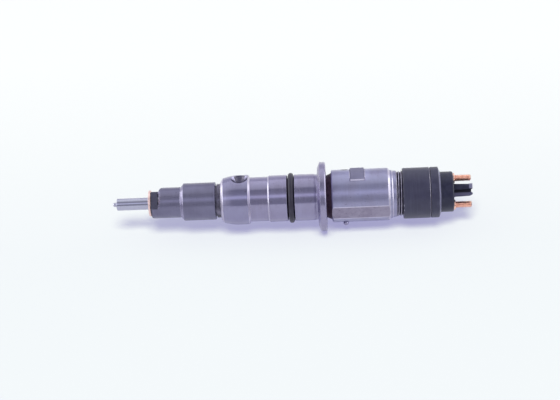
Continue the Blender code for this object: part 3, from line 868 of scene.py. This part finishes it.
def cross_hole_tools():
    """Cutters of the return hole with its countersink, and of the seat of the plug ball."""
    mouth = spot(RETURN_STATION, UPPER_R + 1.0, RETURN_CLOCK)
    countersink = spot(RETURN_STATION, UPPER_R - 0.5, RETURN_CLOCK)
    plug_mouth = spot(RETURN_STATION, UPPER_R + 1.0, PLUG_CLOCK)
    return [
        cone_tool(spot(RETURN_STATION, 8.7, RETURN_CLOCK), mouth, RETURN_HOLE_R),
        cone_tool(countersink, mouth, RETURN_HOLE_R, RETURN_HOLE_R + RETURN_COUNTERSINK),
        cone_tool(spot(RETURN_STATION, 11.0, PLUG_CLOCK), plug_mouth, PLUG_R + HAIRLINE),
    ]


def key_slot_tool():
    """The cutter of the slot that the orientation key lies in."""
    half_width = KEY_HALF_WIDTH + HAIRLINE
    low = (KEY_START - KEY_GAP, -half_width, KEY_FLOOR - 0.3)
    return box_tool(low, (KEY_END + KEY_GAP, half_width, UPPER_R + 2.0))


def flat_tools():
    """Cutters of the flat for the code and of the narrow facets that break its long edges."""
    tools = []
    for turn in FACETS:
        height = EDGE_FACET if turn else CODE_FLAT
        low = (UPPER_START - 1.0, -FLAT_REACH, height)
        high = (CODE_FLAT_END, FLAT_REACH, UPPER_R + 2.0)
        tools.append(box_tool(low, high, CODE_FLAT_CLOCK + turn))
    return tools


def make_injector_body():
    """The forged and turned body, from the spigot in the nozzle nut to the thread of the sleeve."""
    outer = [
        (SPIGOT_START, SPIGOT_R - 0.4, 0.0),
        (SPIGOT_START + 0.4, SPIGOT_R, 0.0),
        (NECK_START, SPIGOT_R, 0.0),
        (NECK_START, NECK_R, 0.2),
        (BODY_START, NECK_R, 0.3),
        (BODY_START, BODY_NOSE_LOW_R, 0.15),
        (BODY_NOSE_END, BODY_NOSE_R, 0.3),
        (INLET_LAND_START, INLET_LAND_R, 3.0),
        (INLET_LAND_END, INLET_LAND_R, 0.15),
        (INLET_LAND_END + 1.0, BODY_WAIST_R, 0.2),
        (WAIST_END, BODY_WAIST_R, 0.15),
        (SEAL_LAND_START, BODY_R, 0.15),
        (GROOVE_START - 0.3, BODY_R, 0.1),
        (GROOVE_START, BODY_R - 0.3, 0.1),
        (GROOVE_START, GROOVE_R, 0.4),
        (GROOVE_END, GROOVE_R, 0.4),
        (GROOVE_END, BODY_R - 0.3, 0.1),
        (GROOVE_END + 0.3, BODY_R, 0.1),
        (FLANGE_RAMP_START, BODY_R, 0.6),
        (FLANGE_START, BODY_WAIST_R, 1.5),
        (FLANGE_START, FLANGE_R - 3.2, 0.3),
        (FLANGE_START + 1.4, FLANGE_R, 0.12),
        (CLAMP_FACE - 0.6, FLANGE_R, 0.12),
        (CLAMP_FACE, FLANGE_R - 0.6, 0.12),
        (CLAMP_FACE, UPPER_R + 0.3, 0.05),
        (CLAMP_FACE - SEAT_RELIEF, UPPER_R + 0.3, 0.05),
        (CLAMP_FACE - SEAT_RELIEF, BROWN_NECK_LOW_R, 0.4),
        (UPPER_START, BROWN_NECK_R, 0.3),
        (UPPER_START, UPPER_R - 0.6, 0.15),
        (UPPER_START + 0.6, UPPER_R, 0.3),
        (UPPER_END, UPPER_R, 0.2),
        (UPPER_END + 1.2, UPPER_R - 1.2, 0.15),
        (CONE_STEP, UPPER_R - 1.35, 0.1),
        (CONE_END, UPPER_R - 1.75, 0.1),
        (NECK_END, CONE_FOOT_R, 0.1),
        (NECK_END + 0.1, THREAD_R, 0.05),
        (THREAD_END, THREAD_R, 0.0),
        (BODY_END, THREAD_R, 0.2),
    ]
    bore = [
        (SPIGOT_START, SPRING_BORE_R, 0.0),
        (SPRING_BORE_END, SPRING_BORE_R, 0.0),
        (SPRING_BORE_END, PISTON_BORE_R, 0.0),
        (VALVE_BORE_START, PISTON_BORE_R, 0.0),
        (VALVE_BORE_START, VALVE_BORE_R, 0.0),
        (CUP_FLOOR, VALVE_BORE_R, 0.0),
        (CUP_FLOOR, CUP_R, 0.0),
        (CUP_MOUTH, CUP_R, 0.0),
        (CUP_MOUTH, CUP_MOUTH_R, 0.0),
        (BODY_END, CUP_MOUTH_R, 0.0),
    ]
    thread_start = NECK_END + 0.15

    def step_at(station):
        return 0.08 if NECK_END < station < THREAD_END else LONGEST_STEP

    def ripple(station, turn, radius):
        if radius < THREAD_R - 0.3 or not thread_start < station < THREAD_END:
            return radius
        run_in = min(1.0, (station - thread_start) / 0.8)
        return radius - run_in * helix_depth(station, turn, NECK_PITCH, NECK_THREAD_DEPTH)

    piece = lathe("turned_body", outer, bore, AROUND, step_at, ripple)
    slot_edges = [
        slot_edge_tool(KEY_START - KEY_GAP, -SLOT_EDGE),
        slot_edge_tool(KEY_END + KEY_GAP, SLOT_EDGE),
    ]
    tools = [*inlet_tools(), *cross_hole_tools(), key_slot_tool(), *flat_tools(), *slot_edges]
    combine(piece, "DIFFERENCE", tools)
    paint_zones(piece, BODY_ZONES, body_zone)
    install(piece, "injector_body")


def make_orientation_key():
    """The raised pad, with brighter steel on its sides towards -Y and the terminals as a painted
    highlight.
    """
    piece = box_tool((KEY_START, -KEY_HALF_WIDTH, KEY_FLOOR), (KEY_END, KEY_HALF_WIDTH, KEY_TOP))
    piece.name = "clocking_key"
    bevelled(piece, 0.25, 3)

    def zone_of(_station, _radius, face):
        # Faces towards -Y and the terminals get brighter steel: a painted highlight
        return "brightened" if face.normal.y < -0.4 or face.normal.x > 0.4 else "milled"

    paint_zones(piece, {"milled": MILLED, "brightened": PAINTED_HIGHLIGHT_STEEL}, zone_of)
    install(piece, "orientation_key")


def make_plug_ball():
    """The steel ball that closes the cross hole under the upper barrel."""
    shape = bmesh.new()
    bmesh.ops.create_uvsphere(shape, u_segments=48, v_segments=32, radius=PLUG_R * MM)
    middle = spot(RETURN_STATION, UPPER_R + PLUG_RISE, PLUG_CLOCK)
    bmesh.ops.translate(shape, vec=middle, verts=shape.verts)
    piece = new_piece("cross_hole_ball", shape)
    install(piece, "return_plug_ball", STEEL)


def make_body_o_ring():
    """A rubber ring with the fine flash line of its mould round the outside."""
    low, high = low_station("body_o_ring"), high_station("body_o_ring")
    section = (high - low) / 2 + O_RING_SPREAD
    middle = (high + low) / 2 + O_RING_SHIFT
    centre = O_RING_R - section
    steps = 40
    half = steps // 2
    outline = []
    for index in range(steps):
        angle = 2 * math.pi * index / steps
        reach = section if index in (0, half) else section - FLASH_RISE
        outline.append((middle - reach * math.sin(angle), centre + reach * math.cos(angle), 0.0))
    inner = [outline[(half - n) % steps] for n in range(-half // 2, half // 2 + 1)]
    outer = [outline[n % steps] for n in range(half // 2 - 1, -half // 2, -1)]
    piece = lathe("o_ring", outer, inner, AROUND)
    install(piece, "body_o_ring", RUBBER)


def make_solenoid_nut():
    """The black sleeve, with bright steel on its edge beside the cap as a painted highlight."""
    outer = [
        (SLEEVE_START, SLEEVE_R - 0.45, 0.15),
        (SLEEVE_START + 0.45, SLEEVE_R, 0.2),
        (SLEEVE_END - 0.25, SLEEVE_R, 0.1),
        (SLEEVE_END, SLEEVE_R - 0.25, 0.1),
    ]
    bore = [
        (SLEEVE_START, THREAD_R + NUT_CLEARANCE, 0.2),
        (SLEEVE_SHELF, THREAD_R + NUT_CLEARANCE, 0.0),
        (SLEEVE_SHELF, SLEEVE_MOUTH_R, 0.0),
        (SLEEVE_END, SLEEVE_MOUTH_R, 0.1),
    ]
    piece = lathe("solenoid_sleeve", outer, bore)

    def zone_of(station, radius, _face):
        # The end chamfer beside the cap gets bright steel: a painted highlight
        return "brightened" if station > SLEEVE_END - 0.24 and radius > 14.0 else "lacquer"

    paint_zones(piece, {"lacquer": OXIDE, "brightened": PAINTED_HIGHLIGHT_STEEL}, zone_of)
    install(piece, "solenoid_nut")


def prong_shapes():
    """The two blades of the forked barrier, the tip of the upper one, which is painted pale as a
    highlight, and the web between.
    """
    root = PRONG_SLOT / 2
    half_width = PRONG_WIDTH / 2
    shapes = []
    for side, clock in TERMINAL_CLOCKS.items():
        top = root + PRONG_THICKNESS[side]
        blade = [
            (CAP_END - 1.5, root - 0.05),
            (PRONG_END - 0.3, root),
            (PRONG_END, root + 0.3),
            (PRONG_END, top - 1.2),
            (PRONG_END - 1.6, top - 0.35),
            (CAP_END + 1.2, top - 0.1),
            (CAP_END - 0.2, top + 0.4),
            (CAP_END - 1.5, top + 0.4),
        ]
        shapes.append(bevelled(prism_tool(blade, half_width, clock), 0.3, 3, 25.0))
    upper = TERMINAL_CLOCKS["upper"]
    tip_low = (PRONG_END - 2.1, -half_width - 0.06, root + 0.35)
    tip_high = (PRONG_END, half_width + 0.06, root + PRONG_THICKNESS["upper"] - 0.15)
    shapes.append(bevelled(box_tool(tip_low, tip_high, upper), 0.3, 3, 25.0))
    web_low = (CAP_END - 1.5, half_width - PRONG_WEB, -root - 0.5)
    web_high = (PRONG_END - 0.4, half_width - 0.2, root + 0.5)
    shapes.append(box_tool(web_low, web_high, upper))
    return shapes


def cap_zone(station, radius, face):
    """The zone of a face of the cap, with heights measured towards the upper stud."""
    root = PRONG_SLOT / 2
    height = face.center.dot(outward(TERMINAL_CLOCKS["upper"])) / MM
    # The tip of the upper prong is painted pale: a painted highlight
    if station > PRONG_END - 2.2 and height > root + 0.25:
        return "lightened"
    if station > CAP_END + 0.1 and height < -root / 2:
        return "violet"
    if station < CAP_STEP - 1.2:
        return "rim"
    # The shoulder before the small end is painted pale: a painted highlight
    return "lightened" if station < CAP_STEP - 0.3 and radius > CAP_SMALL_R + 0.5 else "black"


def make_connector_cap():
    """The moulded cap, with the forked barrier between the terminals and a socket for each stud."""
    outer = [
        (CAP_FOOT, CAP_FOOT_R, 0.2),
        (CAP_START, CAP_FOOT_R, 0.0),
        (CAP_START, SLEEVE_R - 0.2, 0.1),
        (CAP_START + 0.2, SLEEVE_R, 0.1),
        (CAP_STEP - 1.3, SLEEVE_R, 0.3),
        (CAP_STEP - 0.15, CAP_SMALL_R + 0.4, 0.2),
        (CAP_STEP, CAP_SMALL_R, 0.15),
        (CAP_END - 0.5, CAP_SMALL_R, 0.3),
        (CAP_END, CAP_SMALL_R - 0.5, 0.25),
    ]
    piece = lathe("moulded_cap", outer)
    combine(piece, "UNION", prong_shapes())
    sockets = []
    for clock in TERMINAL_CLOCKS.values():
        lead, lead_end, foot, mouth = (
            spot(station, TERMINAL_OFFSET, clock) for station in (178.0, 186.5, 186.0, CAP_END + 0.5)
        )
        sockets.append(cone_tool(foot, mouth, STUD_R + 0.1))
        sockets.append(cone_tool(lead, lead_end, 0.8, around=24))
    combine(piece, "DIFFERENCE", sockets)
    zones = {"black": PLASTIC, "rim": PLASTIC_RIM, "lightened": PLASTIC_PAINTED_HIGHLIGHT, "violet": PLASTIC_VIOLET}
    paint_zones(piece, zones, cap_zone)
    install(piece, "connector_cap")


def make_terminal_studs():
    """Copper-plated M4 studs with a rolled thread above the collar."""
    thread_start = CAP_END + 1.2

    def step_at(station):
        return 0.07 if station > thread_start else LONGEST_STEP

    def ripple(station, turn, radius):
        if station < thread_start + 0.1 or radius < STUD_R - 0.5:
            return radius
        return radius - helix_depth(station, turn, STUD_PITCH, STUD_THREAD_DEPTH)

    outer = [
        (STUD_FOOT, STUD_R, 0.0),
        (CAP_END + 0.05, STUD_R, 0.0),
        (CAP_END + 0.05, STUD_COLLAR_R, 0.15),
        (CAP_END + 1.1, STUD_COLLAR_R, 0.2),
        (CAP_END + 1.1, STUD_R - 0.15, 0.1),
        (thread_start + 0.4, STUD_R, 0.1),
        (STUD_END - 0.5, STUD_R, 0.1),
        (STUD_END, STUD_R - 0.5, 0.1),
    ]
    for side, clock in TERMINAL_CLOCKS.items():
        piece = lathe(f"threaded_stud_{side}", outer, (), 64, step_at, ripple, (TERMINAL_OFFSET, clock))
        install(piece, f"terminal_stud_{side}", PLATING)


def finish_inner_nodes():
    """Procedural finishes for the CAD solids that stay, all of them inside the housing."""
    hard = metal(
        "inner_hard_steel", (0.50, 0.49, 0.53), (0.40, 0.39, 0.43), 0.18,
        anisotropy=0.5, lines=3.0, stain=0.3,
    )
    plain = metal("inner_steel", (0.36, 0.35, 0.40), (0.28, 0.27, 0.31), 0.3, anisotropy=0.5)
    spring = mottled_metal(
        "inner_spring_wire", (0.20, 0.19, 0.21), (0.32, 0.31, 0.34), 0.35, scale=500.0, metallic=1.0
    )
    iron = mottled_metal(
        "inner_core_iron", (0.17, 0.16, 0.18), (0.24, 0.23, 0.25), 0.5, scale=700.0, metallic=0.9
    )
    seal = polymer("inner_seal", (0.70, 0.67, 0.60), (0.80, 0.78, 0.72), 0.5)
    resin = polymer("inner_coil_resin", (0.30, 0.10, 0.04), (0.45, 0.20, 0.09), 0.35)
    finishes = {
        "hard_steel": hard,
        "steel": plain,
        "spring_steel": spring,
        "core_iron": iron,
        "seal_plastic": seal,
        "coil_resin": resin,
        "rubber": RUBBER,
        "terminal_copper": PLATING,
    }
    for part in frame["record"]["subparts"]:
        node = frame["nodes"][part["node"]]
        if part["material_slot"] in finishes:
            node.data.materials.clear()
            node.data.materials.append(finishes[part["material_slot"]])


# ---- studio ----


def make_floor():
    """A white table that sweeps up into a backdrop far behind the object, all in metres."""
    front, depth, width, height, bend = -3.0, 2.6, 6.0, 2.4, 0.9
    bend_steps = 16
    path = [(front, 0.0), (depth - bend, 0.0)]
    for step in range(1, bend_steps + 1):
        angle = math.pi / 2 * step / bend_steps
        path.append((depth - bend + bend * math.sin(angle), bend - bend * math.cos(angle)))
    path.append((depth, height))
    shape = bmesh.new()
    left = [shape.verts.new((-width / 2, y, FLOOR_Z + z)) for y, z in path]
    right = [shape.verts.new((width / 2, y, FLOOR_Z + z)) for y, z in path]
    for index in range(len(path) - 1):
        shape.faces.new((left[index], right[index], right[index + 1], left[index + 1]))
    sweep = new_piece("table_sweep", shape)
    nodes = Surface("white_table")
    position = nodes.position()
    near = nodes.mix(nodes.noise(position, 3.0, 2.0), (0.125, 0.135, 0.090), (0.129, 0.139, 0.093))
    # The table's colour grows lighter towards the back, from just behind the object: painted light
    back = nodes.remap(nodes.split(position)[1], -0.02, 0.24)
    white = nodes.mix(back, near, (0.144, 0.150, 0.101))
    nodes.set(Base_Color=white, Roughness=0.9, Specular_IOR_Level=0.0)
    nodes.set(Emission_Color=(0.60, 0.58, 1.0, 1.0), Emission_Strength=0.55)
    sweep.data.materials.append(nodes.material)
    return sweep


def make_overhead(table):
    """A broad lamp above and behind, which lights only the table and gives the soft shadow."""
    lamp = bpy.data.lights.new("overhead", "SUN")
    lamp.energy = 12.6
    lamp.angle = math.radians(28.0)
    made = bpy.data.objects.new("overhead", lamp)
    bpy.context.scene.collection.objects.link(made)
    made.rotation_euler = (math.radians(33.0), 0.0, 0.0)
    lit = bpy.data.collections.new("lit_by_overhead")
    lit.objects.link(table)
    made.light_linking.receiver_collection = lit


def make_world():
    """A bright studio overhead, behind and at both ends, with a dim room in front."""
    world = bpy.data.worlds.new("studio")
    bpy.context.scene.world = world
    world.use_nodes = True
    nodes = Nodes(world.node_tree)
    background = nodes.tree.nodes["Background"]
    x, y, z = nodes.split(nodes.coordinates("Generated"))
    angle = nodes.math("ARCTAN2", z, nodes.math("MULTIPLY", y, -1.0))
    height = nodes.math("MULTIPLY", angle, 180.0 / math.pi)
    ramp = nodes.add("ShaderNodeValToRGB")
    nodes.link(nodes.math("DIVIDE", height, 180.0), ramp.inputs[0])
    # Brightness round the object, from 0 level in front, over the top at 0.5, to 1 level behind
    stops = (
        (0.0, 0.50),
        (0.03, 0.42),
        (0.13, 0.42),
        (0.17, 0.50),
        (0.20, 1.05),
        (0.25, 1.05),
        (0.28, 0.55),
        (0.33, 0.45),
        (0.43, 0.40),
        (0.46, 0.78),
        (0.55, 0.95),
        (0.70, 1.20),
        (0.88, 1.10),
        (0.96, 0.60),
        (1.0, 0.50),
    )
    while len(ramp.color_ramp.elements) < len(stops):
        ramp.color_ramp.elements.new(0.5)
    for element, (place, level) in zip(ramp.color_ramp.elements, stops):
        element.position = place
        blue = 1.12 if place < 0.44 else 1.0
        element.color = (level * 0.95, level * 0.99, level * blue, 1.0)
    ends = nodes.remap(nodes.math("ABSOLUTE", x), 0.58, 0.76, easing="SMOOTHSTEP")
    room = nodes.mix(ends, ramp.outputs["Color"], (2.5, 2.6, 2.4))
    nodes.feed(background, {"Color": room, "Strength": 1.0})
    white = nodes.add("ShaderNodeBackground")
    white.inputs["Color"].default_value = (0.965, 0.985, 1.0, 1.0)
    rays = nodes.add("ShaderNodeLightPath")
    pick = nodes.add("ShaderNodeMixShader")
    sources = (rays.outputs["Is Camera Ray"], background.outputs[0], white.outputs[0])
    nodes.feed(pick, dict(enumerate(sources)))
    nodes.link(pick.outputs[0], nodes.tree.nodes["World Output"].inputs["Surface"])


def make_camera():
    """A long lens a metre away, a little above the object and turned to its terminals."""
    azimuth, elevation, roll = (math.radians(angle) for angle in (2.6, 29.5, 3.57))
    distance = 1.011
    level = math.cos(elevation)
    back = Vector((math.sin(azimuth) * level, -math.cos(azimuth) * level, math.sin(elevation)))
    turn = (-back).to_track_quat("-Z", "Y") @ Matrix.Rotation(-roll, 4, "Z").to_quaternion()
    up = turn @ Vector((0.0, 1.0, 0.0))
    data = bpy.data.cameras.new("camera")
    data.sensor_width = 36.0
    data.lens = 112.5
    made = bpy.data.objects.new("camera", data)
    bpy.context.scene.collection.objects.link(made)
    made.rotation_mode = "QUATERNION"
    made.rotation_quaternion = turn
    made.location = spot(96.8) - up * MM + back * distance
    bpy.context.scene.camera = made


make_camera()
make_nozzle_body()
make_copper_washer()
make_nozzle_nut()
make_injector_body()
make_orientation_key()
make_plug_ball()
make_body_o_ring()
make_solenoid_nut()
make_connector_cap()
make_terminal_studs()
finish_inner_nodes()
make_overhead(make_floor())
make_world()
bpy.context.scene.view_settings.view_transform = "Standard"
